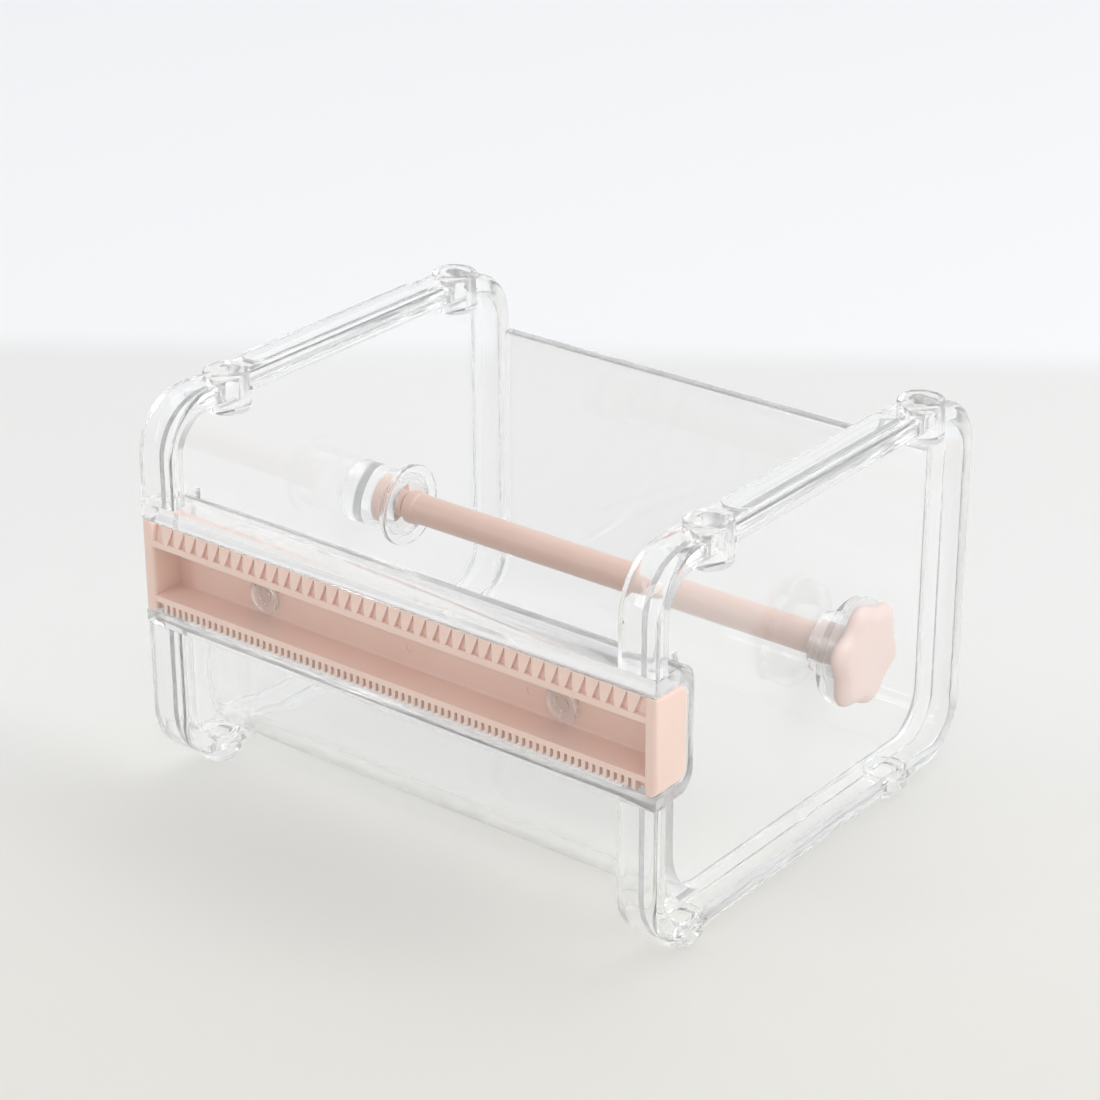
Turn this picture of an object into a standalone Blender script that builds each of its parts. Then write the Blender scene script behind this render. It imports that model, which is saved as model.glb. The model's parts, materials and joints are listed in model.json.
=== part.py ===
"""Stackable desktop tape dispenser: clear side frames, a bent tray, a toothed cutter and a pull-out spindle.

Metres, +Z up, +X towards the knob, -Y towards the cutter. The world origin is the middle of the whole
object's footprint, on the surface that the feet stand on. Pieces hang under two empties: dispenser_origin,
midway between the side frames at the rails' underside, and spindle_axis, on the spindle's centre line.
"""

import bmesh
import bpy
from math import cos, floor, hypot, pi, radians, sin
from mathutils import Vector

# Overall sizes
WIDTH = 0.0980
DEPTH = 0.0821
HEIGHT = 0.0620

# Gaps: between fixed neighbours, and round what turns or slides
GAP = 0.0003
RUNNING = 0.0001

# Side frames: a rim all round, with a thin panel in its middle
RIM_WIDTH = 0.0071
RIM_THICKNESS = 0.0032
RIM_CORNER = 0.0095
RIM_ROUNDING = 0.0007
PANEL_THICKNESS = 0.0016

# Raised bar on each top rail
BAR_HEIGHT = 0.0006
BAR_MARGIN = 0.0009
BAR_FRONT_SETBACK = 0.0213
BAR_REAR_SETBACK = 0.0186

# Stacking sockets on the top rails, and the feet that drop into them
SOCKET_DIAMETER = 0.0075
SOCKET_RISE = 0.0006
SOCKET_LENGTH = 0.0066
SOCKET_BORE = 0.0054
SOCKET_FLOOR = 0.0012
SOCKET_FRONT_SETBACK = 0.0166
SOCKET_REAR_SETBACK = 0.0104
FOOT_DIAMETER = 0.0074
FOOT_DROP = 0.0025
FOOT_TIP_LENGTH = 0.0016
FOOT_FIT = 0.0001
FOOT_FRONT_SETBACK = 0.0109
FOOT_REAR_SETBACK = 0.0161

# Tray: one bent sheet, up behind the cutter and up the back
TRAY_THICKNESS = 0.0023
TRAY_FLOOR_RAISE = 0.0003
TRAY_FRONT_SETBACK = 0.0078
TRAY_FRONT_BEND = 0.0122
TRAY_BACK_TOP_SETDOWN = 0.0117

# Cutter: a pink channel, open to the front, in a clear holder
CUTTER_DEPTH = 0.0077
CUTTER_BOTTOM = 0.0270
CUTTER_HEIGHT = 0.0152
CUTTER_CORNER = 0.0022
CUTTER_END = 0.0022
CUTTER_WEB = 0.0017
CUTTER_LIP = 0.0010
CHANNEL_RECESS = 0.0002
LOWER_LIP_RAISE = 0.0017
UPPER_LIP_SETDOWN = 0.0032
BLADE_THICKNESS = 0.0010
COARSE_PITCH = 0.0024
COARSE_TOOTH = 0.0023
COARSE_BASE_SETDOWN = 0.0029
FINE_PITCH = 0.00125
FINE_TOOTH = 0.0013
TEETH_END_CLEARANCE = 0.0006
HOLDER_BOTTOM_WALL = 0.0020
HOLDER_TOP_WALL = 0.0027
HOLDER_BACK_WALL = 0.0011
HOLDER_CORNER = 0.0035

# Stakes that hold the cutter in its holder
STAKE_INSET = 0.0204
STAKE_RAISE = 0.0060
STAKE_DIAMETER = 0.0026
STAKE_HEAD_DIAMETER = 0.0048
STAKE_HEAD_HEIGHT = 0.0008

# Spindle, its bearings and its knob
SPINDLE_Y = 0.0055
SPINDLE_Z = 0.0318
SHAFT_DIAMETER = 0.0050
COLLAR_DIAMETER = 0.0056
COLLAR_LENGTH = 0.0023
COLLAR_CHAMFER = 0.0004
TIP_DIAMETER = 0.0026
TIP_LENGTH = 0.0034
BOSS_DISC_DIAMETER = 0.0136
BOSS_DISC = 0.0010
BOSS_DIAMETER = 0.0104
BOSS_LENGTH = 0.0101
BUSH_FLANGE_DIAMETER = 0.0080
BUSH_FLANGE = 0.0012
BUSH_DIAMETER = 0.0044
BUSH_LENGTH = 0.0044
BUSH_SETBACK = 0.0003
SPIGOT_DIAMETER = 0.0062
PLUG_DIAMETER = 0.0038
PLUG_LENGTH = 0.0039
HUB_DIAMETER = 0.0166
HUB_NECK_DIAMETER = 0.0096
HUB_PROUD = 0.0024
HUB_DISC = 0.0015
KNOB_STANDOFF = 0.0005
KNOB_THICKNESS = 0.0026
KNOB_RADIUS = 0.0081
KNOB_LOBE = 0.0005
KNOB_LOBES = 6
KNOB_TURN = radians(17)
KNOB_ROUNDING = 0.0008

# Facets
CORNER_STEPS = 6
ROUNDING_STEPS = 1
SMALL_SIDES = 24
ROUND_SIDES = 32
KNOB_STEPS = 72

# Sizes and places that follow
HALF_WIDTH = WIDTH / 2
FRONT = -DEPTH / 2
REAR = DEPTH / 2
RIM_MIDDLE = HALF_WIDTH - RIM_WIDTH / 2
PANEL_INSIDE = RIM_MIDDLE - PANEL_THICKNESS / 2
PANEL_OUTSIDE = RIM_MIDDLE + PANEL_THICKNESS / 2
WIDEST_LUG = max(SOCKET_DIAMETER, FOOT_DIAMETER, RIM_WIDTH)
BETWEEN_RIMS = RIM_MIDDLE - WIDEST_LUG / 2 - GAP
SOCKET_YS = (FRONT + SOCKET_FRONT_SETBACK, REAR - SOCKET_REAR_SETBACK)
FOOT_YS = (FRONT + FOOT_FRONT_SETBACK, REAR - FOOT_REAR_SETBACK)
SOCKET_TOP = HEIGHT + SOCKET_RISE
FOOT_TIP_DIAMETER = SOCKET_BORE - 2 * FOOT_FIT
CUTTER_BACK = FRONT + CUTTER_DEPTH
CUTTER_TOP = CUTTER_BOTTOM + CUTTER_HEIGHT
CHANNEL_FRONT = FRONT + CHANNEL_RECESS
WEB_BACK = CUTTER_BACK - CHANNEL_RECESS
WEB_FRONT = WEB_BACK - CUTTER_WEB
HOLDER_BACK = CUTTER_BACK + GAP + HOLDER_BACK_WALL
HOLDER_BOTTOM = CUTTER_BOTTOM - GAP - HOLDER_BOTTOM_WALL
HOLDER_TOP = CUTTER_TOP + GAP + HOLDER_TOP_WALL
HUB_FACE = HALF_WIDTH + HUB_PROUD
KNOB_BACK = HUB_FACE + KNOB_STANDOFF
KNOB_FACE = KNOB_BACK + KNOB_THICKNESS
BOSS_FACE = -PANEL_INSIDE + BOSS_LENGTH
BUSH_RIGHT = BOSS_FACE - BUSH_SETBACK
BUSH_LEFT = BUSH_RIGHT - BUSH_LENGTH
COLLAR_LEFT = BUSH_RIGHT + GAP
SPIGOT_LEFT = PANEL_INSIDE - GAP
SHOULDER = SPIGOT_LEFT - GAP
SHIFT_TO_MIDDLE = -(KNOB_FACE - RIM_MIDDLE - WIDEST_LUG / 2) / 2

CLEAR = ("clear_plastic", (0.93, 0.95, 0.95), 0.06, 0.3)
PINK = ("pink_plastic", (0.80, 0.58, 0.53), 0.42, 1.0)

# An outline drawn in a curve's own X and Y is turned so that it stands across the object (Y, Z) or
# lies along it (X, Z). A turned profile's own Z is laid along X or, for the stakes, along -Y.
ACROSS = (radians(90), 0, radians(90))
ALONG = (radians(90), 0, 0)
AXIS_X = (0, radians(90), 0)
AXIS_BACK = (radians(90), 0, 0)


def start():
    for old in list(bpy.data.objects):
        bpy.data.objects.remove(old, do_unlink=True)
    collections = {}
    for name in ("tape_dispenser", "cutters"):
        collections[name] = bpy.data.collections.new(name)
        bpy.context.scene.collection.children.link(collections[name])
    collections["cutters"].hide_render = True
    origin = bpy.data.objects.new("dispenser_origin", None)
    origin.location = (SHIFT_TO_MIDDLE, 0, FOOT_DROP)
    axis = bpy.data.objects.new("spindle_axis", None)
    axis.parent = origin
    axis.location = (0, SPINDLE_Y, SPINDLE_Z)
    for empty in (origin, axis):
        collections["tape_dispenser"].objects.link(empty)
    return collections, origin, axis


COLLECTIONS, ORIGIN, SPINDLE = start()


def plastic(spec):
    name, colour, roughness, alpha = spec
    material = bpy.data.materials.get(name) or bpy.data.materials.new(name)
    material.use_nodes = True
    shader = material.node_tree.nodes["Principled BSDF"]
    shader.inputs["Base Color"].default_value = (*colour, 1)
    shader.inputs["Roughness"].default_value = roughness
    shader.inputs["Metallic"].default_value = 0
    shader.inputs["Alpha"].default_value = alpha
    material.diffuse_color = (*colour, alpha)
    return material


def place(obj, spec, location=(0, 0, 0), rotation=(0, 0, 0), parent=None):
    """Puts an object under its empty: a piece with a plastic, or a helper when spec is None."""
    obj.parent = parent or ORIGIN
    obj.location = location
    obj.rotation_euler = rotation
    if spec:
        obj.data.materials.append(plastic(spec))
        COLLECTIONS["tape_dispenser"].objects.link(obj)
    else:
        obj.hide_render = True
        obj.display_type = "WIRE"
        COLLECTIONS["cutters"].objects.link(obj)
    bpy.context.view_layer.update()
    return obj


def smooth(obj):
    obj.data.shade_smooth()
    obj.data.set_sharp_from_angle(angle=radians(35))
    return obj


def extruded(name, outlines, thickness, rounding=0):
    """A mesh object of closed outlines, extruded both ways from its plane, with its edges rounded.

    An outline inside another is a hole, and runs clockwise, so that the rounding keeps to its size.
    """
    curve = bpy.data.curves.new(name, "CURVE")
    curve.dimensions = "2D"
    curve.fill_mode = "BOTH"
    curve.extrude = thickness / 2 - rounding
    curve.bevel_depth = rounding
    curve.bevel_resolution = ROUNDING_STEPS
    curve.offset = -rounding
    for outline in outlines:
        spline = curve.splines.new("POLY")
        spline.points.add(len(outline) - 1)
        for point, (u, v) in zip(spline.points, outline):
            point.co = (u, v, 0, 1)
        spline.use_cyclic_u = True
    guide = bpy.data.objects.new(name + "_outline", curve)
    bpy.context.scene.collection.objects.link(guide)
    bpy.context.view_layer.update()
    graph = bpy.context.evaluated_depsgraph_get()
    mesh = bpy.data.meshes.new_from_object(guide.evaluated_get(graph))
    obj = bpy.data.objects.new(name, mesh)
    obj.matrix_world = guide.matrix_world
    bpy.data.objects.remove(guide, do_unlink=True)
    body = bmesh.new()
    body.from_mesh(mesh)
    bmesh.ops.remove_doubles(body, verts=body.verts, dist=1e-6)
    bmesh.ops.recalc_face_normals(body, faces=body.faces)
    body.to_mesh(mesh)
    body.free()
    return obj


def plate(name, outlines, spec, left, right, parent=None, rounding=0):
    """Outlines in (y, z), extruded from x = left to x = right."""
    obj = extruded(name, outlines, right - left, rounding)
    return smooth(place(obj, spec, ((left + right) / 2, 0, 0), ACROSS, parent))


def blade(name, outline, spec, front, back):
    """An outline in (x, z), extruded from y = front to y = back."""
    obj = extruded(name, [outline], back - front)
    return place(obj, spec, (0, (front + back) / 2, 0), ALONG)


def post(name, spec, diameter, x, y, bottom, top, tip=None):
    """An upright cylinder, or a cone when tip gives another diameter at its bottom."""
    mesh = bpy.data.meshes.new(name)
    body = bmesh.new()
    bmesh.ops.create_cone(
        body,
        cap_ends=True,
        segments=SMALL_SIDES,
        radius1=(tip or diameter) / 2,
        radius2=diameter / 2,
        depth=top - bottom,
    )
    body.to_mesh(mesh)
    body.free()
    obj = bpy.data.objects.new(name, mesh)
    return smooth(place(obj, spec, (x, y, (bottom + top) / 2)))


def box(name, spec, low, high):
    mesh = bpy.data.meshes.new(name)
    body = bmesh.new()
    bmesh.ops.create_cube(body, size=1)
    size = Vector(high) - Vector(low)
    bmesh.ops.scale(body, vec=size, verts=body.verts)
    body.to_mesh(mesh)
    body.free()
    obj = bpy.data.objects.new(name, mesh)
    return place(obj, spec, (Vector(low) + Vector(high)) / 2)


def turned(name, profile, spec, location, rotation, parent=None, ring=False, sides=ROUND_SIDES):
    """A profile of (radius, height) turned about its own Z: down the outer side, then up any bore."""
    mesh = bpy.data.meshes.new(name)
    body = bmesh.new()
    points = [body.verts.new((radius, 0, height)) for radius, height in profile]
    for start_point, end_point in zip(points, points[1:]):
        body.edges.new((start_point, end_point))
    if ring:
        body.edges.new((points[-1], points[0]))
    body.to_mesh(mesh)
    body.free()
    obj = bpy.data.objects.new(name, mesh)
    screw = obj.modifiers.new("turn", "SCREW")
    screw.steps = sides
    screw.render_steps = sides
    screw.use_merge_vertices = True
    screw.merge_threshold = 1e-6
    screw.use_smooth_shade = True
    return place(obj, spec, location, rotation, parent)


def combine(obj, other, operation):
    """Adds or takes away another closed mesh. Its many small steps come out whole with this solver."""
    step = obj.modifiers.new(other.name, "BOOLEAN")
    step.operation = operation
    step.solver = "MANIFOLD"
    step.object = other


def cut(obj, cutter):
    combine(obj, cutter, "DIFFERENCE")


def join(obj, other):
    combine(obj, other, "UNION")


def arc(centre_u, centre_v, radius, first, last, steps=CORNER_STEPS):
    """Points from the angle first to the angle last, in degrees."""
    turn = last - first
    angles = [radians(first + turn * i / steps) for i in range(steps + 1)]
    return [(centre_u + radius * cos(a), centre_v + radius * sin(a)) for a in angles]


def rounded_rectangle(low_u, low_v, high_u, high_v, radius):
    corners = (
        (high_u - radius, high_v - radius, 0),
        (low_u + radius, high_v - radius, 90),
        (low_u + radius, low_v + radius, 180),
        (high_u - radius, low_v + radius, 270),
    )
    return [p for u, v, first in corners for p in arc(u, v, radius, first, first + 90)]


def frame_outline(inset):
    """The side frame's outline in (y, z), moved inwards by inset."""
    radius = RIM_CORNER - inset
    return rounded_rectangle(FRONT + inset, inset, REAR - inset, HEIGHT - inset, radius)


def flat_front(front, back, bottom, top, radius):
    """A D in (y, z): a straight front edge, and round corners at the back."""
    low = arc(back - radius, bottom + radius, radius, 270, 360)
    high = arc(back - radius, top - radius, radius, 0, 90)
    return [(front, bottom), *low, *high, (front, top)]


def side_frame(side, word):
    """The rim with its bar, sockets and feet, and the panel inside it."""
    middle = side * RIM_MIDDLE
    left = middle - RIM_WIDTH / 2
    right = middle + RIM_WIDTH / 2
    outlines = [frame_outline(0), frame_outline(RIM_THICKNESS)[::-1]]
    rim = plate(f"{word}_rim", outlines, CLEAR, left, right, rounding=RIM_ROUNDING)
    join(rim, top_bar(word, middle))
    for y, end in zip(SOCKET_YS, ("front", "rear")):
        bottom = SOCKET_TOP - SOCKET_LENGTH
        join(rim, post(f"{word}_{end}_socket", None, SOCKET_DIAMETER, middle, y, bottom, SOCKET_TOP))
    for y, end in zip(FOOT_YS, ("front", "rear")):
        tip_top = -FOOT_DROP + FOOT_TIP_LENGTH
        root = RIM_THICKNESS / 2
        join(rim, post(f"{word}_{end}_foot", None, FOOT_DIAMETER, middle, y, tip_top, root))
        join(rim, post(f"{word}_{end}_tip", None, FOOT_TIP_DIAMETER, middle, y, -FOOT_DROP, root))
    for y, end in zip(SOCKET_YS, ("front", "rear")):
        bore_floor = SOCKET_TOP - SOCKET_LENGTH + SOCKET_FLOOR
        above = SOCKET_TOP + RIM_THICKNESS
        cut(rim, post(f"{word}_{end}_bore", None, SOCKET_BORE, middle, y, bore_floor, above))

    panel_left = middle - PANEL_THICKNESS / 2
    panel_right = middle + PANEL_THICKNESS / 2
    panel_outline = [frame_outline(RIM_THICKNESS + GAP)]
    panel = plate(f"{word}_panel", panel_outline, CLEAR, panel_left, panel_right)
    for y, end in zip(SOCKET_YS, ("front", "rear")):
        low = SOCKET_TOP - SOCKET_LENGTH - GAP
        room = SOCKET_DIAMETER + 2 * GAP
        cut(panel, post(f"{word}_{end}_socket_room", None, room, middle, y, low, HEIGHT))
    for piece in (rim, panel):
        cut(piece, HOLDER_ROOM)
    return rim, panel


def top_bar(word, middle):
    """A low bar with round ends, on top of a rail."""
    half = RIM_WIDTH / 2 - BAR_MARGIN
    outline = rounded_rectangle(
        middle - half,
        FRONT + BAR_FRONT_SETBACK,
        middle + half,
        REAR - BAR_REAR_SETBACK,
        half,
    )
    depth = BAR_HEIGHT + RIM_THICKNESS / 2
    obj = extruded(f"{word}_bar", [outline], depth)
    return place(obj, None, (0, 0, HEIGHT + BAR_HEIGHT - depth / 2))


def tray():
    """The bent sheet, from the top of the back wall, under the roll and up to the cutter's holder."""
    back_top = HEIGHT - TRAY_BACK_TOP_SETDOWN
    low = TRAY_FLOOR_RAISE
    front = FRONT + TRAY_FRONT_SETBACK
    rear_bend = arc(REAR - RIM_CORNER, low + RIM_CORNER, RIM_CORNER, 0, -90)
    bend_y = front + TRAY_FRONT_BEND
    front_bend = arc(bend_y, low + TRAY_FRONT_BEND, TRAY_FRONT_BEND, 270, 180, 2 * CORNER_STEPS)
    path = [(REAR, back_top), *rear_bend, *front_bend, (front, HOLDER_BOTTOM - GAP)]
    half = PANEL_INSIDE - GAP
    mesh = bpy.data.meshes.new("tray")
    body = bmesh.new()
    rows = [[body.verts.new((x, y, z)) for x in (-half, half)] for y, z in path]
    for (a, b), (c, d) in zip(rows, rows[1:]):
        body.faces.new((a, b, d, c))
    body.to_mesh(mesh)
    body.free()
    obj = place(bpy.data.objects.new("tray", mesh), CLEAR)
    sheet = obj.modifiers.new("sheet", "SOLIDIFY")
    sheet.thickness = TRAY_THICKNESS
    sheet.offset = -1
    sheet.use_even_offset = True
    for side, word in ((-1, "left"), (1, "right")):
        ends = sorted((side * BETWEEN_RIMS, side * (HALF_WIDTH + GAP)))
        outlines = [frame_outline(-GAP), frame_outline(RIM_THICKNESS + GAP)]
        cut(obj, plate(f"{word}_rim_room", outlines, None, *ends))
    return smooth(obj)


def holder():
    """The clear channel round the cutter, with round corners at the back."""
    outer = flat_front(FRONT, HOLDER_BACK, HOLDER_BOTTOM, HOLDER_TOP, HOLDER_CORNER)
    inner = flat_front(
        FRONT,
        CUTTER_BACK + GAP,
        CUTTER_BOTTOM - GAP,
        CUTTER_TOP + GAP,
        CUTTER_CORNER + GAP,
    )
    return plate("cutter_holder", [outer + inner[::-1]], CLEAR, -HALF_WIDTH, HALF_WIDTH)


def zigzag(start_x, end_x, pitch, root, tip, back):
    """An outline in (x, z): teeth from root to tip along one side, and a straight edge at back."""
    count = floor((end_x - start_x) / pitch)
    first = (start_x + end_x - count * pitch) / 2
    points = [(start_x, back), (start_x, root)]
    for i in range(count):
        x = first + i * pitch
        points += [(x, root), (x + pitch / 2, tip)]
    points += [(first + count * pitch, root), (end_x, root), (end_x, back)]
    return [p for p, q in zip(points, points[1:] + points[:1]) if hypot(p[0] - q[0], p[1] - q[1]) > 1e-7]


def cutter():
    """The pink channel with its end plates, coarse teeth pointing up and fine teeth pointing down."""
    lip_low = CUTTER_BOTTOM + LOWER_LIP_RAISE
    lip_high = CUTTER_TOP - UPPER_LIP_SETDOWN
    inside = HALF_WIDTH - CUTTER_END
    teeth_end = inside - TEETH_END_CLEARANCE
    channel = [
        (CHANNEL_FRONT, lip_low),
        (WEB_BACK, lip_low),
        (WEB_BACK, lip_high),
        (CHANNEL_FRONT, lip_high),
        (CHANNEL_FRONT, lip_high - CUTTER_LIP),
        (WEB_FRONT, lip_high - CUTTER_LIP),
        (WEB_FRONT, lip_low + CUTTER_LIP),
        (CHANNEL_FRONT, lip_low + CUTTER_LIP),
    ]
    strip = plate("cutter_strip", [channel], PINK, -inside - CUTTER_END / 2, inside + CUTTER_END / 2)
    coarse_root = CUTTER_TOP - COARSE_BASE_SETDOWN
    coarse = zigzag(
        -teeth_end,
        teeth_end,
        COARSE_PITCH,
        coarse_root,
        coarse_root + COARSE_TOOTH,
        lip_high - CUTTER_LIP / 2,
    )
    fine = zigzag(
        -teeth_end,
        teeth_end,
        FINE_PITCH,
        CUTTER_BOTTOM + FINE_TOOTH,
        CUTTER_BOTTOM,
        lip_low + CUTTER_LIP / 2,
    )
    blade_front = CHANNEL_FRONT + CHANNEL_RECESS
    for name, outline in (("coarse_teeth", coarse), ("fine_teeth", fine[::-1])):
        join(strip, blade(name, outline, None, blade_front, blade_front + BLADE_THICKNESS))
    end_outline = flat_front(FRONT, CUTTER_BACK, CUTTER_BOTTOM, CUTTER_TOP, CUTTER_CORNER)
    for side, word in ((-1, "left"), (1, "right")):
        ends = sorted((side * inside, side * HALF_WIDTH))
        join(strip, plate(f"{word}_cutter_end", [end_outline], None, *ends))
    return strip


def stakes(strip):
    """Each stake passes through the cutter's web, and its head lies in front."""
    height = CUTTER_BOTTOM + STAKE_RAISE
    back = -WEB_BACK
    neck = -(WEB_FRONT - GAP)
    face = neck + STAKE_HEAD_HEIGHT
    profile = [
        (0, face),
        (STAKE_HEAD_DIAMETER / 2, face),
        (STAKE_HEAD_DIAMETER / 2, neck),
        (STAKE_DIAMETER / 2, neck),
        (STAKE_DIAMETER / 2, back + GAP),
        (0, back + GAP),
    ]
    for side, word in ((-1, "left"), (1, "right")):
        x = side * (HALF_WIDTH - STAKE_INSET)
        name = f"{word}_stake"
        turned(name, profile, CLEAR, (x, 0, height), AXIS_BACK, sides=SMALL_SIDES)
        room = STAKE_DIAMETER / 2 + GAP
        hole = [(0, neck + GAP), (room, neck + GAP), (room, back - GAP), (0, back - GAP)]
        cut(strip, turned(name + "_hole", hole, None, (x, 0, height), AXIS_BACK, sides=SMALL_SIDES))


def left_boss():
    """A cup with a rim disc, on the left panel, in which the spindle's bush turns."""
    bore = BUSH_FLANGE_DIAMETER / 2 + RUNNING
    floor_x = BUSH_LEFT - GAP
    back = -PANEL_INSIDE + GAP
    disc_left = BOSS_FACE - BOSS_DISC
    profile = [
        (0, floor_x),
        (bore, floor_x),
        (bore, BOSS_FACE),
        (BOSS_DISC_DIAMETER / 2, BOSS_FACE),
        (BOSS_DISC_DIAMETER / 2, disc_left),
        (BOSS_DIAMETER / 2, disc_left),
        (BOSS_DIAMETER / 2, back),
        (0, back),
    ]
    return turned("left_boss", profile, CLEAR, (0, SPINDLE_Y, SPINDLE_Z), AXIS_X)


def right_hub(panel):
    """A flanged ring on the right panel's outside, which the knob's spigot turns in."""
    bore = SPIGOT_DIAMETER / 2 + RUNNING
    neck = HUB_NECK_DIAMETER / 2
    back = PANEL_OUTSIDE + GAP
    disc_back = HUB_FACE - HUB_DISC
    profile = [
        (bore, HUB_FACE),
        (HUB_DIAMETER / 2, HUB_FACE),
        (HUB_DIAMETER / 2, disc_back),
        (neck, disc_back),
        (neck, back),
        (bore, back),
    ]
    place_on_axis = (0, SPINDLE_Y, SPINDLE_Z)
    turned("right_hub", profile, CLEAR, place_on_axis, AXIS_X, ring=True)
    room = SPIGOT_DIAMETER / 2 + GAP
    hole = [(0, HALF_WIDTH), (room, HALF_WIDTH), (room, BETWEEN_RIMS), (0, BETWEEN_RIMS)]
    cut(panel, turned("hub_hole", hole, None, place_on_axis, AXIS_X))


def spindle():
    """The bush that stays in the boss, and the shaft and knob that pull out of it together."""
    shaft_r = SHAFT_DIAMETER / 2
    collar_r = COLLAR_DIAMETER / 2
    tip_r = TIP_DIAMETER / 2
    plug_r = PLUG_DIAMETER / 2
    bush_r = BUSH_DIAMETER / 2
    flange_r = BUSH_FLANGE_DIAMETER / 2
    socket_r = tip_r + RUNNING
    tip_end = COLLAR_LEFT - TIP_LENGTH
    bush = [
        (0, tip_end - GAP),
        (socket_r, tip_end - GAP),
        (socket_r, BUSH_RIGHT),
        (bush_r, BUSH_RIGHT),
        (bush_r, BUSH_LEFT + BUSH_FLANGE),
        (flange_r, BUSH_LEFT + BUSH_FLANGE),
        (flange_r, BUSH_LEFT),
        (0, BUSH_LEFT),
    ]
    turned("spindle_bush", bush, PINK, (0, 0, 0), AXIS_X, SPINDLE)
    collar_right = COLLAR_LEFT + COLLAR_LENGTH
    shaft = [
        (0, SHOULDER + PLUG_LENGTH),
        (plug_r, SHOULDER + PLUG_LENGTH),
        (plug_r, SHOULDER),
        (shaft_r, SHOULDER),
        (shaft_r, collar_right),
        (collar_r, collar_right - COLLAR_CHAMFER / 2),
        (collar_r, COLLAR_LEFT + COLLAR_CHAMFER),
        (collar_r - COLLAR_CHAMFER, COLLAR_LEFT),
        (tip_r, COLLAR_LEFT),
        (tip_r, tip_end),
        (0, tip_end),
    ]
    turned("spindle_shaft", shaft, PINK, (0, 0, 0), AXIS_X, SPINDLE)
    knob()


def knob_outline():
    """A round outline with shallow lobes, in (y, z) about the spindle's axis."""
    points = []
    for i in range(KNOB_STEPS):
        angle = 2 * pi * i / KNOB_STEPS
        radius = KNOB_RADIUS + KNOB_LOBE * cos(KNOB_LOBES * (angle + KNOB_TURN))
        points.append((radius * cos(angle), radius * sin(angle)))
    return points


def knob():
    disc = plate(
        "spindle_knob",
        [knob_outline()],
        PINK,
        KNOB_BACK,
        KNOB_FACE,
        SPINDLE,
        KNOB_ROUNDING,
    )
    spigot_r = SPIGOT_DIAMETER / 2
    bore_r = PLUG_DIAMETER / 2 + GAP
    bore_end = SHOULDER + PLUG_LENGTH + GAP
    inside_knob = KNOB_BACK + KNOB_THICKNESS / 2
    spigot = [
        (0, inside_knob),
        (spigot_r, inside_knob),
        (spigot_r, SPIGOT_LEFT),
        (bore_r, SPIGOT_LEFT),
        (bore_r, bore_end),
        (0, bore_end),
    ]
    join(disc, turned("knob_spigot", spigot, None, (0, 0, 0), AXIS_X, SPINDLE))


def holder_room():
    """The space that the holder takes out of the rims' front posts and the panels."""
    low = (-HALF_WIDTH - GAP, FRONT - GAP, HOLDER_BOTTOM - GAP)
    high = (HALF_WIDTH + GAP, HOLDER_BACK + GAP, HOLDER_TOP + GAP)
    return box("holder_room", None, low, high)


HOLDER_ROOM = holder_room()
side_frame(-1, "left")
RIGHT_PANEL = side_frame(1, "right")[1]
tray()
holder()
stakes(cutter())
left_boss()
right_hub(RIGHT_PANEL)
spindle()
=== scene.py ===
import json
from math import cos, floor, pi, radians, sin

import bmesh
import bpy
from mathutils import Matrix, Vector


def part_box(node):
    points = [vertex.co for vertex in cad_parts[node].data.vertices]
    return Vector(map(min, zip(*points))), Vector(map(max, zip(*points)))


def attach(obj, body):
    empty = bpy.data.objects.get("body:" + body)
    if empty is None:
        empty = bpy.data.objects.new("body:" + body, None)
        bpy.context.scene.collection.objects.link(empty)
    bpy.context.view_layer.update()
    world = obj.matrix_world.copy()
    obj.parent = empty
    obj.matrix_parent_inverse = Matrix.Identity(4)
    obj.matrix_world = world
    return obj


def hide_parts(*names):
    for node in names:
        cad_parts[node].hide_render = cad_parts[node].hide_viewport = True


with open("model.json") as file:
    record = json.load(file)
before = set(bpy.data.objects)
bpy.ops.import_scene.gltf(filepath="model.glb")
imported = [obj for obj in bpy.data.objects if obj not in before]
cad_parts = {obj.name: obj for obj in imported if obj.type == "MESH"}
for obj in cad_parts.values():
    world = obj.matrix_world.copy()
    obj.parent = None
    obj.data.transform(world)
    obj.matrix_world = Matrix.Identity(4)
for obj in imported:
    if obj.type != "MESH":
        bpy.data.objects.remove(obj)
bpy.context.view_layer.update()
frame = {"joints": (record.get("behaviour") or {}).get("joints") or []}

# ---------------------------------------------------------------- places, from the frame
RIM_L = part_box("left_rim")
RIM_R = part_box("right_rim")
PANEL_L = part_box("left_panel")
PANEL_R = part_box("right_panel")
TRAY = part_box("tray")
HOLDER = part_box("cutter_holder")
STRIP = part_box("cutter_strip")
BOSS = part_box("left_boss")
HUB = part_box("right_hub")
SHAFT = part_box("spindle_shaft")
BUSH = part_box("spindle_bush")
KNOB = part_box("spindle_knob")
STAKE_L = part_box("left_stake")
STAKE_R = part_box("right_stake")
AXIS = Vector(frame["joints"][0]["pos_m"])

# ---------------------------------------------------------------- sizes, in metres
GAP = 0.0003
FIT = 0.0001
PANEL_THICKNESS = 0.0009

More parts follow.
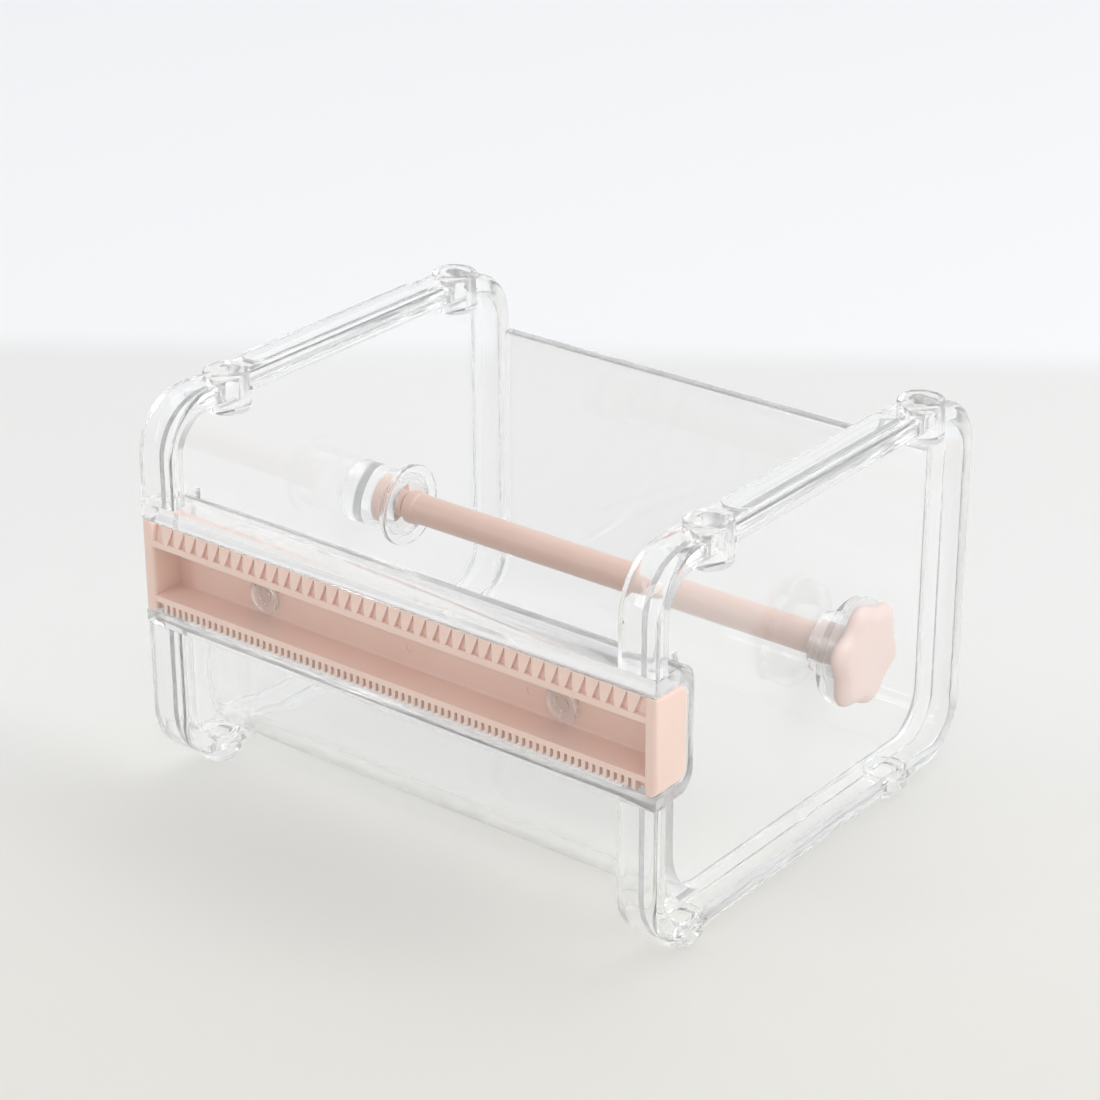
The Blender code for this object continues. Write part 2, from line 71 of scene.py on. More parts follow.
# Side frames, with their sockets, feet and top bars
RIM_WIDTH = 0.0071
RIM_THICKNESS = 0.0032
RIM_CORNER = 0.0095
RIM_ROUNDING = 0.0009
SOCKET_RISE = 0.0006
SOCKET_LENGTH = 0.0066
SOCKET_DIAMETER = 0.0075
SOCKET_BORE = 0.0054
SOCKET_FLOOR = 0.0012
SOCKET_ROUNDING = 0.0006
SOCKET_FRONT_SETBACK = 0.0166
SOCKET_REAR_SETBACK = 0.0104
FOOT_DIAMETER = 0.0074
FOOT_TIP_DIAMETER = 0.0052
FOOT_TIP_LENGTH = 0.0016
FOOT_ROUNDING = 0.0004
FOOT_FRONT_SETBACK = 0.0109
FOOT_REAR_SETBACK = 0.0161
BAR_HEIGHT = 0.0006
BAR_SUNK = 0.0015
BAR_MARGIN = 0.0009
BAR_ROUNDING = 0.00025
BAR_FRONT_SETBACK = 0.0213
BAR_REAR_SETBACK = 0.0186

# Tray and cutter holder
TRAY_THICKNESS = 0.0023
TRAY_BEND = 0.0122
TRAY_SETBACK = 0.0078
TRAY_UNDER_HOLDER = 0.0010
TRAY_IN_RIM = 0.0029
CREST_ROUNDING = 0.0006
HOLDER_CORNER = 0.0035
HOLDER_ROUNDING = 0.00035
HAIR = 0.00005
HOLDER_HAIR = 0.00004
BEYOND = 0.01

# Cutter and its studs
CUTTER_CORNER = 0.0022
CUTTER_END = 0.0022
CUTTER_END_ROUNDING = 0.0008
CUTTER_RECESS = 0.0002
WEB_THICKNESS = 0.0019
WEB_FILLET = 0.0005
LIP = 0.0010
LOWER_LIP_RAISE = 0.0017
UPPER_LIP_SETDOWN = 0.0032
TEETH_SETBACK = 0.0003
TEETH_END_CLEARANCE = 0.0006
COARSE_PITCH = 0.0024
COARSE_THICKNESS = 0.0008
COARSE_LEAN = 0.28
FINE_PITCH = 0.00125
FINE_THICKNESS = 0.0011
FINE_LENGTH = 0.0021
STUD_RADIUS = 0.0029
STUD_STEM_RADIUS = 0.0013
SLOT_ASIDE = 0.0024
SLOT_RAISE = 0.0018
MARK_RADIUS = 0.0008
MARK_DEPTH = 0.00008
MARK_RAISE = 0.0024
MARK_XS = (0.0, 0.0227)

# Spindle, its bearings and its knob
BOSS_DISC = 0.0010
BOSS_RADIUS = 0.0052
BOSS_ROUNDING = 0.0003
FLANGE = 0.0012
BUSH_ROUNDING = 0.0002
NECK_RADIUS = 0.0022
TIP_RADIUS = 0.0013
SHAFT_RADIUS = 0.0025
SHAFT_ROUNDING = 0.00012
COLLAR_RADIUS = 0.0028
COLLAR_LENGTH = 0.0023
COLLAR_CHAMFER = 0.0004
PLUG_RADIUS = 0.0019
PLUG_LENGTH = 0.0039
SPIGOT_RADIUS = 0.0031
HUB_DISC = 0.0015
HUB_NECK_RADIUS = 0.0048
KNOB_RADIUS = 0.0080
KNOB_LOBE = 0.0006
KNOB_LOBES = 6
KNOB_THICKNESS = 0.0026
KNOB_TURN = radians(17)

# ---------------------------------------------------------------- places that follow
MIDDLE = (RIM_L[0].x + RIM_R[1].x) / 2
WIDTH = RIM_R[1].x - RIM_L[0].x
RIM_MIDDLE = {-1: (RIM_L[0].x + RIM_L[1].x) / 2, 1: (RIM_R[0].x + RIM_R[1].x) / 2}
PANEL_MIDDLE = {-1: (PANEL_L[0].x + PANEL_L[1].x) / 2, 1: (PANEL_R[0].x + PANEL_R[1].x) / 2}
FRONT = RIM_L[0].y
REAR = RIM_L[1].y
FLOOR = RIM_L[0].z
RAIL_BOTTOM = PANEL_L[0].z - GAP - RIM_THICKNESS
RAIL_TOP = RIM_L[1].z - SOCKET_RISE
SOCKET_YS = (FRONT + SOCKET_FRONT_SETBACK, REAR - SOCKET_REAR_SETBACK)
FOOT_YS = (FRONT + FOOT_FRONT_SETBACK, REAR - FOOT_REAR_SETBACK)
BAR_YS = (FRONT + BAR_FRONT_SETBACK, REAR - BAR_REAR_SETBACK)

ACROSS = (radians(90), 0, radians(90))
ALONG = (radians(90), 0, 0)
AXIS_X = (0, radians(90), 0)
AXIS_BACK = (radians(90), 0, 0)


# ---------------------------------------------------------------- mesh helpers
def linked(obj):
    bpy.context.scene.collection.objects.link(obj)
    bpy.context.view_layer.update()
    return obj


def finished(obj, name=None):
    """The object's evaluated mesh, in world coordinates, as a plain mesh object."""
    bpy.context.view_layer.update()
    graph = bpy.context.evaluated_depsgraph_get()
    mesh = bpy.data.meshes.new_from_object(obj.evaluated_get(graph))
    mesh.transform(obj.matrix_world)
    body = bmesh.new()
    body.from_mesh(mesh)
    bmesh.ops.remove_doubles(body, verts=body.verts, dist=1e-6)
    bmesh.ops.recalc_face_normals(body, faces=body.faces)
    body.to_mesh(mesh)
    body.free()
    made = bpy.data.objects.new(name or obj.name, mesh)
    old = obj.name
    bpy.data.objects.remove(obj, do_unlink=True)
    made.name = name or old
    return linked(made)


def extruded(name, outlines, thickness, centre, turn, rounding=0.0, steps=3):
    curve = bpy.data.curves.new(name, "CURVE")
    curve.dimensions = "2D"
    curve.fill_mode = "BOTH"
    curve.extrude = thickness / 2 - rounding
    curve.bevel_depth = rounding
    curve.bevel_resolution = steps
    curve.offset = -rounding
    for outline in outlines:
        spline = curve.splines.new("POLY")
        spline.points.add(len(outline) - 1)
        for point, (u, v) in zip(spline.points, outline):
            point.co = (u, v, 0, 1)
        spline.use_cyclic_u = True
    obj = linked(bpy.data.objects.new(name, curve))
    obj.location = centre
    obj.rotation_euler = turn
    return finished(obj)


def plate(name, outlines, left, right, rounding=0.0, steps=3):
    """Outlines in world (y, z), from x = left to x = right."""
    return extruded(name, outlines, right - left, ((left + right) / 2, 0, 0), ACROSS, rounding, steps)


def slab(name, outline, front, back, rounding=0.0, steps=3):
    """An outline in world (x, z), from y = front to y = back."""
    return extruded(name, [outline], back - front, (0, (front + back) / 2, 0), ALONG, rounding, steps)


def layer(name, outline, low, high, rounding=0.0, steps=3):
    """An outline in world (x, y), from z = low to z = high."""
    return extruded(name, [outline], high - low, (0, 0, (low + high) / 2), (0, 0, 0), rounding, steps)


def turned(name, profile, centre, turn, sides=64, ring=False):
    mesh = bpy.data.meshes.new(name)
    body = bmesh.new()
    points = [body.verts.new((r, 0, h)) for r, h in profile]
    for a, b in zip(points, points[1:]):
        body.edges.new((a, b))
    if ring:
        body.edges.new((points[-1], points[0]))
    body.to_mesh(mesh)
    body.free()
    obj = linked(bpy.data.objects.new(name, mesh))
    screw = obj.modifiers.new("turn", "SCREW")
    screw.steps = sides
    screw.render_steps = sides
    screw.use_merge_vertices = True
    screw.merge_threshold = 1e-6
    obj.location = centre
    obj.rotation_euler = turn
    return finished(obj)


def combined(base, others, operation="UNION"):
    for other in others:
        step = base.modifiers.new("step", "BOOLEAN")
        step.operation = operation
        step.solver = "MANIFOLD"
        step.object = other
    made = finished(base)
    for other in others:
        bpy.data.objects.remove(other, do_unlink=True)
    return made


def box(name, low, high):
    mesh = bpy.data.meshes.new(name)
    body = bmesh.new()
    bmesh.ops.create_cube(body, size=1)
    low, high = Vector(low), Vector(high)
    bmesh.ops.scale(body, vec=high - low, verts=body.verts)
    bmesh.ops.translate(body, vec=(high + low) / 2, verts=body.verts)
    body.to_mesh(mesh)
    body.free()
    return linked(bpy.data.objects.new(name, mesh))


def smooth(obj, angle=32):
    obj.data.shade_smooth()
    obj.data.set_sharp_from_angle(angle=radians(angle))
    return obj


def arc(u, v, radius, first, last, steps=14):
    turn = last - first
    angles = [radians(first + turn * i / steps) for i in range(steps + 1)]
    return [(u + radius * cos(a), v + radius * sin(a)) for a in angles]


def rounded_rectangle(u0, v0, u1, v1, r, steps=14):
    corners = ((u1 - r, v1 - r, 0), (u0 + r, v1 - r, 90), (u0 + r, v0 + r, 180), (u1 - r, v0 + r, 270))
    return [p for u, v, a in corners for p in arc(u, v, r, a, a + 90, steps)]


def frame_outline(inset):
    return rounded_rectangle(
        FRONT + inset, RAIL_BOTTOM + inset, REAR - inset, RAIL_TOP - inset, RIM_CORNER - inset
    )


def flat_front(front, back, bottom, top, radius, steps=10):
    low = arc(back - radius, bottom + radius, radius, 270, 360, steps)
    high = arc(back - radius, top - radius, radius, 0, 90, steps)
    return [(front, bottom), *low, *high, (front, top)]


def rounded_profile(points, radius, steps=5):
    """The same open (r, h) profile with its inner corners rounded."""
    made = [points[0]]
    for before, here, after in zip(points, points[1:], points[2:]):
        a, b, c = Vector(before), Vector(here), Vector(after)
        r = min(radius, (a - b).length * 0.45, (c - b).length * 0.45)
        into, out = (a - b).normalized() * r, (c - b).normalized() * r
        for i in range(steps + 1):
            t = i / steps
            made.append(tuple(b + into * (1 - t) ** 2 + out * t**2))
    made.append(points[-1])
    return made


# ---------------------------------------------------------------- materials
def new_material(name):
    material = bpy.data.materials.new(name)
    material.use_nodes = True
    tree = material.node_tree
    shader = tree.nodes["Principled BSDF"]
    return material, tree, shader


def noise(tree, scale, detail=3.0, roughness=0.55):
    coords = tree.nodes.new("ShaderNodeTexCoord")
    node = tree.nodes.new("ShaderNodeTexNoise")
    node.inputs["Scale"].default_value = scale
    node.inputs["Detail"].default_value = detail
    node.inputs["Roughness"].default_value = roughness
    tree.links.new(coords.outputs["Object"], node.inputs["Vector"])
    return node


def ramp(tree, source, low, high, first, last):
    node = tree.nodes.new("ShaderNodeMapRange")
    node.inputs["From Min"].default_value = first
    node.inputs["From Max"].default_value = last
    node.inputs["To Min"].default_value = low
    node.inputs["To Max"].default_value = high
    tree.links.new(source, node.inputs["Value"])
    return node.outputs["Result"]


def bump(tree, shader, source, strength, distance):
    node = tree.nodes.new("ShaderNodeBump")
    node.inputs["Strength"].default_value = strength
    node.inputs["Distance"].default_value = distance
    tree.links.new(source, node.inputs["Height"])
    tree.links.new(node.outputs["Normal"], shader.inputs["Normal"])


def clear_plastic():
    material, tree, shader = new_material("clear_plastic")
    shader.inputs["Base Color"].default_value = (0.985, 0.99, 0.99, 1)
    shader.inputs["Transmission Weight"].default_value = 0.93
    shader.inputs["IOR"].default_value = 1.49
    haze = noise(tree, 160, 4)
    tree.links.new(ramp(tree, haze.outputs["Fac"], 0.0, 0.06, 0.35, 0.75), shader.inputs["Roughness"])
    flow = noise(tree, 55, 2)
    bump(tree, shader, flow.outputs["Fac"], 0.002, 0.0005)
    path = tree.nodes.new("ShaderNodeLightPath")
    open_ = tree.nodes.new("ShaderNodeBsdfTransparent")
    open_.inputs["Color"].default_value = (0.99, 0.99, 0.99, 1)
    mix = tree.nodes.new("ShaderNodeMixShader")
    tree.links.new(path.outputs["Is Shadow Ray"], mix.inputs[0])
    tree.links.new(shader.outputs["BSDF"], mix.inputs[1])
    tree.links.new(open_.outputs["BSDF"], mix.inputs[2])
    tree.links.new(mix.outputs["Shader"], tree.nodes["Material Output"].inputs["Surface"])
    return material


def pink_plastic(name, darker, lighter):
    material, tree, shader = new_material(name)
    tone = noise(tree, 90, 3)
    mix = tree.nodes.new("ShaderNodeMix")
    mix.data_type = "RGBA"
    mix.inputs["A"].default_value = (*darker, 1)
    mix.inputs["B"].default_value = (*lighter, 1)
    tree.links.new(ramp(tree, tone.outputs["Fac"], 0, 1, 0.3, 0.7), mix.inputs["Factor"])
    tree.links.new(mix.outputs["Result"], shader.inputs["Base Color"])
    grain = noise(tree, 2600, 2)
    tree.links.new(ramp(tree, tone.outputs["Fac"], 0.34, 0.46, 0.3, 0.7), shader.inputs["Roughness"])
    bump(tree, shader, grain.outputs["Fac"], 0.06, 0.00005)
    shader.inputs["Coat Weight"].default_value = 0.5
    shader.inputs["Coat Roughness"].default_value = 0.35
    shader.inputs["Sheen Weight"].default_value = 0.25
    shader.inputs["Sheen Roughness"].default_value = 0.5
    shader.inputs["Subsurface Weight"].default_value = 0.2
    shader.inputs["Subsurface Radius"].default_value = (1.0, 0.6, 0.5)
    shader.inputs["Subsurface Scale"].default_value = 0.0012
    shader.inputs["IOR"].default_value = 1.5
    return material


CLEAR = clear_plastic()
# One pink plastic in three copies. The cutter's copy is lightened a little, as painted light on its
# shaded channel. The darker copy on the bush and shaft is painted shade, and the paler knob copy is a
# painted highlight.
PINK = pink_plastic("pink_plastic", (0.84, 0.625, 0.54), (0.87, 0.665, 0.585))
PINK_PAINTED_SHADE = pink_plastic("pink_plastic_painted_shade", (0.71, 0.505, 0.43), (0.74, 0.54, 0.465))
PINK_PAINTED_HIGHLIGHT = pink_plastic("pink_plastic_painted_highlight", (0.78, 0.63, 0.585), (0.81, 0.665, 0.62))


def dress(obj, material, body, slot, *nodes):
    obj.data.materials.clear()
    obj.data.materials.append(material)
    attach(obj, body)
    if nodes:
        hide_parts(*nodes)
    return obj


# ---------------------------------------------------------------- clear pieces
def upright(name, x, y, profile, sides=48):
    return turned(name, profile, (x, y, 0), (0, 0, 0), sides)


def side_frame(side, word):
    """A rim with its panel, top bar, sockets and feet, on the left (-1) or the right (1)."""
    x = RIM_MIDDLE[side]
    rim = plate(
        f"{word}_side_frame",
        [frame_outline(0), frame_outline(RIM_THICKNESS)[::-1]],
        x - RIM_WIDTH / 2,
        x + RIM_WIDTH / 2,
        RIM_ROUNDING,
        4,
    )
    panel_x = PANEL_MIDDLE[side]
    half_panel = PANEL_THICKNESS / 2
    panel_outline = frame_outline(RIM_THICKNESS / 2)
    parts = [plate("panel", [panel_outline], panel_x - half_panel, panel_x + half_panel)]
    half = RIM_WIDTH / 2 - BAR_MARGIN
    bar = rounded_rectangle(x - half, BAR_YS[0], x + half, BAR_YS[1], half * 0.98)
    parts.append(layer("bar", bar, RAIL_TOP - BAR_SUNK, RAIL_TOP + BAR_HEIGHT, BAR_ROUNDING))
    top = RAIL_TOP + SOCKET_RISE
    for y in SOCKET_YS:
        r = SOCKET_DIAMETER / 2
        profile = [(0, top), (r, top), (r, top - SOCKET_LENGTH), (0, top - SOCKET_LENGTH)]
        parts.append(upright("socket", x, y, rounded_profile(profile, SOCKET_ROUNDING)))
    for y in FOOT_YS:
        r, tip = FOOT_DIAMETER / 2, FOOT_TIP_DIAMETER / 2
        step = FLOOR + FOOT_TIP_LENGTH
        mid = RAIL_BOTTOM + RIM_THICKNESS * 0.6
        profile = [(0, mid), (r, mid), (r, step), (tip, step), (tip, FLOOR), (0, FLOOR)]
        parts.append(upright("foot", x, y, rounded_profile(profile, FOOT_ROUNDING)))
    if side < 0:
        parts.append(boss())
    frame_piece = combined(rim, parts)
    cutters = []
    for y in SOCKET_YS:
        r = SOCKET_BORE / 2
        bottom = top - SOCKET_LENGTH + SOCKET_FLOOR
        profile = [(0, top + BEYOND), (r, top + BEYOND), (r, bottom), (0, bottom)]
        cutters.append(upright("bore", x, y, profile))
    cutters.append(
        box(
            "holder_room",
            (x - BEYOND, FRONT - BEYOND, HOLDER[0].z - HOLDER_HAIR),
            (x + BEYOND, HOLDER[1].y + HOLDER_HAIR, HOLDER[1].z + HOLDER_HAIR),
        )
    )
    if side < 0:
        cutters.append(boss_bore())
    else:
        r = SPIGOT_RADIUS + GAP
        hole = [(0, BEYOND), (r, BEYOND), (r, -BEYOND), (0, -BEYOND)]
        cutters.append(turned("hub_hole", hole, (x, AXIS.y, AXIS.z), AXIS_X))
    return smooth(combined(frame_piece, cutters, "DIFFERENCE"))


def boss():
    """The left bearing: a stub with a disc at its end."""
    r = (BOSS[1].y - BOSS[0].y) / 2
    face, back = BOSS[1].x, PANEL_MIDDLE[-1]
    profile = [
        (0, face),
        (r, face),
        (r, face - BOSS_DISC),
        (BOSS_RADIUS, face - BOSS_DISC),
        (BOSS_RADIUS, back),
        (0, back),
    ]
    return turned("boss", rounded_profile(profile, BOSS_ROUNDING), (0, AXIS.y, AXIS.z), AXIS_X)


def boss_bore():
    bore = (BUSH[1].y - BUSH[0].y) / 2 + FIT
    floor_x = BUSH[0].x - GAP
    mouth = BOSS[1].x + BEYOND
    profile = [(0, mouth), (bore, mouth), (bore, floor_x), (0, floor_x)]
    return turned("boss_bore", profile, (0, AXIS.y, AXIS.z), AXIS_X)


def tray():
    """The bent sheet and the holder on its front edge, with room for the two rims."""
    low = TRAY[0].z
    t = TRAY_THICKNESS
    lip = CREST_ROUNDING
    front = HOLDER[0].y + TRAY_SETBACK
    rear_u = TRAY[1].y - RIM_CORNER
    bend_u = front + TRAY_BEND
    outer = [
        *arc(rear_u, low + RIM_CORNER, RIM_CORNER, 0, -90),
        *arc(bend_u, low + TRAY_BEND, TRAY_BEND, 270, 180, 20),
    ]
    top_front = HOLDER[0].z + TRAY_UNDER_HOLDER
    inner = [
        *arc(bend_u, low + TRAY_BEND, TRAY_BEND - t, 180, 270, 20),
        *arc(rear_u, low + RIM_CORNER, RIM_CORNER - t, -90, 0),
    ]
    back_top = TRAY[1].z
    crest = [
        *arc(TRAY[1].y - t + lip, back_top - lip, lip, 180, 90, 5),
        *arc(TRAY[1].y - lip, back_top - lip, lip, 90, 0, 5),
    ]
    outline = [*outer, (front, top_front), (front + t, top_front), *inner, *crest]
    half = TRAY[1].x - MIDDLE
    sheet = plate("tray_and_holder", [outline], MIDDLE - half, MIDDLE + half, 0.0)
    outside = flat_front(FRONT, HOLDER[1].y, HOLDER[0].z, HOLDER[1].z, HOLDER_CORNER)
    inside = flat_front(
        FRONT, STRIP[1].y + FIT, STRIP[0].z - FIT, STRIP[1].z + FIT, CUTTER_CORNER + FIT
    )
    holder = plate("holder", [outside + inside[::-1]], HOLDER[0].x, HOLDER[1].x, HOLDER_ROUNDING)
    made = combined(sheet, [holder])
    rooms = []
    for side in (-1, 1):
        ends = sorted((MIDDLE + side * (half - TRAY_IN_RIM), MIDDLE + side * WIDTH))
        outlines = [frame_outline(-HAIR), frame_outline(RIM_THICKNESS + HAIR)[::-1]]
        room = plate("rim_room", outlines, *ends)
        keep = box(
            "keep",
            (MIDDLE - 2 * WIDTH, FRONT - BEYOND, HOLDER[0].z),
            (MIDDLE + 2 * WIDTH, HOLDER[1].y, HOLDER[1].z),
        )
        rooms.append(combined(room, [keep], "DIFFERENCE"))
    return smooth(combined(made, rooms, "DIFFERENCE"))


def hub():
    """The right bearing: a disc on a narrower neck, with a bore."""
    r = (HUB[1].y - HUB[0].y) / 2
    bore = SPIGOT_RADIUS + FIT
    face = HUB[1].x
    back = PANEL_MIDDLE[1] + PANEL_THICKNESS / 2 + HAIR
    profile = [
        (bore, face),
        (r, face),
        (r, face - HUB_DISC),
        (HUB_NECK_RADIUS, face - HUB_DISC),
        (HUB_NECK_RADIUS, back),
        (bore, back),
    ]
    return smooth(turned("spindle_hub", profile, (0, AXIS.y, AXIS.z), AXIS_X, 96, ring=True))


def stake(word, corners):
    """A stud's head, hollowed a little inside its rim, on a short stem."""
    low, high = corners
    centre = (low + high) / 2
    r = STUD_RADIUS
    face = -low.y
    dip = face - 0.00025
    crest = face - 0.00005
    under = face - 0.0007
    profile = [
        (0, dip),
        (r - 0.0010, dip),
        (r - 0.0008, crest),
        (r - 0.0006, face),
        (r - 0.0004, crest),
        (r - 0.0001, dip),
        (r, face - 0.0005),
        (r, under),
        (STUD_STEM_RADIUS, under),
        (STUD_STEM_RADIUS, under - 0.00035),
        (0, under - 0.00035),
    ]
    return smooth(turned(f"{word}_stud", profile, (centre.x, 0, centre.z), AXIS_BACK, 64), 50)


# ---------------------------------------------------------------- pink pieces
def leaned(obj, from_z, slope):
    """Leans the piece back, the more the higher it stands over from_z."""
    for vertex in obj.data.vertices:
        vertex.co.y += slope * (vertex.co.z - from_z)
    return obj


def comb(start, end, pitch, root, tip, back, foot, crown):
    """Teeth with tapered flanks; foot and crown are how far a flank stands in, as parts of the pitch."""
    count = floor((end - start) / pitch)
    first = (start + end - count * pitch) / 2
    points = [(start, back), (start, root)]
    for i in range(count):
        left = first + i * pitch
        points += [
            (left + foot * pitch, root),
            (left + crown * pitch, tip),
            (left + (1 - crown) * pitch, tip),
            (left + (1 - foot) * pitch, root),
        ]
    return points + [(end, root), (end, back)]


def cutter():
    """The channel and its end plates, coarse teeth hanging from the top edge and fine teeth below."""
    x0, x1 = STRIP[0].x, STRIP[1].x
    bottom, top = STRIP[0].z, STRIP[1].z
    front, back = STRIP[0].y, STRIP[1].y
    lip_low, lip_high = bottom + LOWER_LIP_RAISE, top - UPPER_LIP_SETDOWN
    channel_front, channel_back = front + CUTTER_RECESS, back - CUTTER_RECESS
    web = back - WEB_THICKNESS
    fillet = web - WEB_FILLET
    channel = [
        (channel_front, lip_low),
        (front + 0.0013, lip_low),
        (front + 0.0013, bottom + 0.0003),
        (front + 0.0022, bottom + 0.0003),
        (front + 0.0022, lip_low),
        (channel_back, lip_low),
        (channel_back, lip_high),
        (front + 0.0026, lip_high),
        (front + 0.0026, top - 0.0006),
        (front + 0.0015, top - 0.0006),
        (front + 0.0009, lip_high),
        (channel_front, lip_high),
        (channel_front, lip_high - LIP),
        *arc(fillet, lip_high - LIP - WEB_FILLET, WEB_FILLET, 90, 0, 4),
        *arc(fillet, lip_low + LIP + WEB_FILLET, WEB_FILLET, 0, -90, 4),
        (channel_front, lip_low + LIP),
    ]
    strip = plate("cutter", [channel], x0 + CUTTER_END / 2, x1 - CUTTER_END / 2)
    teeth_front = front + TEETH_SETBACK
    teeth_x = (x0 + CUTTER_END + TEETH_END_CLEARANCE, x1 - CUTTER_END - TEETH_END_CLEARANCE)
    coarse = comb(*teeth_x, COARSE_PITCH, top - 0.0007, lip_high - 0.0001, top - 0.0004, 0.02, 0.32)
    fine_root = bottom + FINE_LENGTH
    fine = comb(*teeth_x, FINE_PITCH, fine_root, bottom + 0.0001, lip_low + LIP / 2, 0.18, 0.28)
    coarse_row = slab("coarse", coarse[::-1], teeth_front, teeth_front + COARSE_THICKNESS)
    parts = [
        leaned(coarse_row, lip_high, COARSE_LEAN),
        slab("fine", fine[::-1], teeth_front, teeth_front + FINE_THICKNESS),
    ]
    outline = flat_front(front, back, bottom, top, CUTTER_CORNER)
    for left, right in ((x0, x0 + CUTTER_END), (x1 - CUTTER_END, x1)):
        parts.append(plate("end", [outline], left, right, CUTTER_END_ROUNDING, 5))
    made = combined(strip, parts)
    holes = [slot_hole(corners, side, web) for corners in (STAKE_L, STAKE_R) for side in (-1, 1)]
    holes += [ejector_mark(MIDDLE + x, web) for x in MARK_XS]
    return smooth(combined(made, holes, "DIFFERENCE"))


def slot_hole(corners, side, web):
    """A slot in the web beside a stud."""
    centre = (corners[0] + corners[1]) / 2
    slot = Vector((centre.x + side * SLOT_ASIDE, web, centre.z + SLOT_RAISE))
    return box("slot", slot - Vector((0.0003, 0.001, 0.0006)), slot + Vector((0.0003, 0.0013, 0.0006)))


def ejector_mark(x, web):
    """The shallow round mark that a mould's ejector pin leaves in the web."""
    r, mouth, bed = MARK_RADIUS, -web + 0.001, -web - MARK_DEPTH
    profile = [(0, mouth), (r, mouth), (r, bed), (0, bed)]
    return turned("ejector_mark", profile, (x, 0, STAKE_L[0].z + MARK_RAISE), AXIS_BACK, 32)


def bush():
    """The end piece that turns in the boss: a flange and a neck with a socket."""
    r = (BUSH[1].y - BUSH[0].y) / 2
    left, right = BUSH[0].x, BUSH[1].x
    socket = TIP_RADIUS + FIT
    profile = [
        (0, SHAFT[0].x - GAP),
        (socket, SHAFT[0].x - GAP),
        (socket, right),
        (NECK_RADIUS, right),
        (NECK_RADIUS, left + FLANGE),
        (r, left + FLANGE),
        (r, left),
        (0, left),
    ]
    profile = rounded_profile(profile, BUSH_ROUNDING, 3)
    return smooth(turned("spindle_end", profile, (0, AXIS.y, AXIS.z), AXIS_X))


def shaft():
    """The shaft, with its tip and collar on the left and the knob's plug on the right."""
    left = BUSH[1].x + GAP
    right = SHAFT[1].x
    profile = [
        (0, right),
        (PLUG_RADIUS, right),
        (PLUG_RADIUS, right - PLUG_LENGTH),
        (SHAFT_RADIUS, right - PLUG_LENGTH),
        (SHAFT_RADIUS, left + COLLAR_LENGTH),
        (COLLAR_RADIUS, left + COLLAR_LENGTH - COLLAR_CHAMFER / 2),
        (COLLAR_RADIUS, left + COLLAR_CHAMFER),
        (COLLAR_RADIUS - COLLAR_CHAMFER, left),
        (TIP_RADIUS, left),
        (TIP_RADIUS, SHAFT[0].x),
        (0, SHAFT[0].x),
    ]
    profile = rounded_profile(profile, SHAFT_ROUNDING, 3)
    return smooth(turned("spindle_shaft_fine", profile, (0, AXIS.y, AXIS.z), AXIS_X))


def knob_ring(inset, steps=144):
    """The lobed outline, drawn in by inset metres."""
    middle = KNOB_RADIUS - inset
    lobe = KNOB_LOBE * (1 - inset / KNOB_RADIUS)
    angles = [2 * pi * i / steps for i in range(steps)]
    radii = [middle + lobe * cos(KNOB_LOBES * (a + KNOB_TURN)) for a in angles]
    return [(r * cos(a), r * sin(a)) for r, a in zip(radii, angles)]


def knob():
    """The lobed knob: rings of its outline at rising heights, drawn in towards a low dome."""
    face = KNOB[1].x
    back = face - KNOB_THICKNESS
    levels = [
        (0.0, 0.0016),
        (0.0001, 0.0006),
        (0.0004, 0.00015),
        (0.0008, 0.0),
        (0.00125, 0.0001),
        (0.0016, 0.00035),
        (0.0020, 0.0009),
        (0.0023, 0.0014),
        (0.00245, 0.0019),
        (0.00252, 0.0028),
        (0.00257, 0.0050),
    ]
    mesh = bpy.data.meshes.new("knob")
    body = bmesh.new()
    rows = [[body.verts.new((back, AXIS.y, AXIS.z))]]
    for height, inset in levels:
        x = back + height
        rows.append([body.verts.new((x, AXIS.y + u, AXIS.z + v)) for u, v in knob_ring(inset)])
    rows.append([body.verts.new((face, AXIS.y, AXIS.z))])
    for a, b in zip(rows, rows[1:]):
        n = max(len(a), len(b))
        for i in range(n):
            j = (i + 1) % n
            loop = [a[i % len(a)], a[j % len(a)], b[j % len(b)], b[i % len(b)]]
            body.faces.new(list(dict.fromkeys(loop)))
    bmesh.ops.recalc_face_normals(body, faces=body.faces)
    body.to_mesh(mesh)
    body.free()
    disc = linked(bpy.data.objects.new("knob", mesh))
    left, bore = KNOB[0].x, PLUG_RADIUS + GAP
    profile = [
        (0, back + 0.001),
        (SPIGOT_RADIUS, back + 0.001),
        (SPIGOT_RADIUS, left),
        (bore, left),
        (bore, left + PLUG_LENGTH + GAP),
        (0, left + PLUG_LENGTH + GAP),
    ]
    spigot = turned("spigot", profile, (0, AXIS.y, AXIS.z), AXIS_X)
    return smooth(combined(disc, [spigot]), 40)


# ---------------------------------------------------------------- the object
dress(side_frame(-1, "left"), CLEAR, "dispenser", "clear_plastic", "left_rim", "left_panel", "left_boss")
dress(side_frame(1, "right"), CLEAR, "dispenser", "clear_plastic", "right_rim", "right_panel")
dress(tray(), CLEAR, "dispenser", "clear_plastic", "tray", "cutter_holder")
dress(hub(), CLEAR, "dispenser", "clear_plastic", "right_hub")
dress(stake("left", STAKE_L), CLEAR, "dispenser", "clear_plastic", "left_stake")
dress(stake("right", STAKE_R), CLEAR, "dispenser", "clear_plastic", "right_stake")
dress(cutter(), PINK, "dispenser", "pink_plastic", "cutter_strip")
# The bush and shaft wear the darker pink, which is painted shade; the knob wears the paler pink, a
# painted highlight.
dress(bush(), PINK_PAINTED_SHADE, "bush", "pink_plastic", "spindle_bush")
dress(shaft(), PINK_PAINTED_SHADE, "spindle", "pink_plastic", "spindle_shaft")
dress(knob(), PINK_PAINTED_HIGHLIGHT, "spindle", "pink_plastic", "spindle_knob")


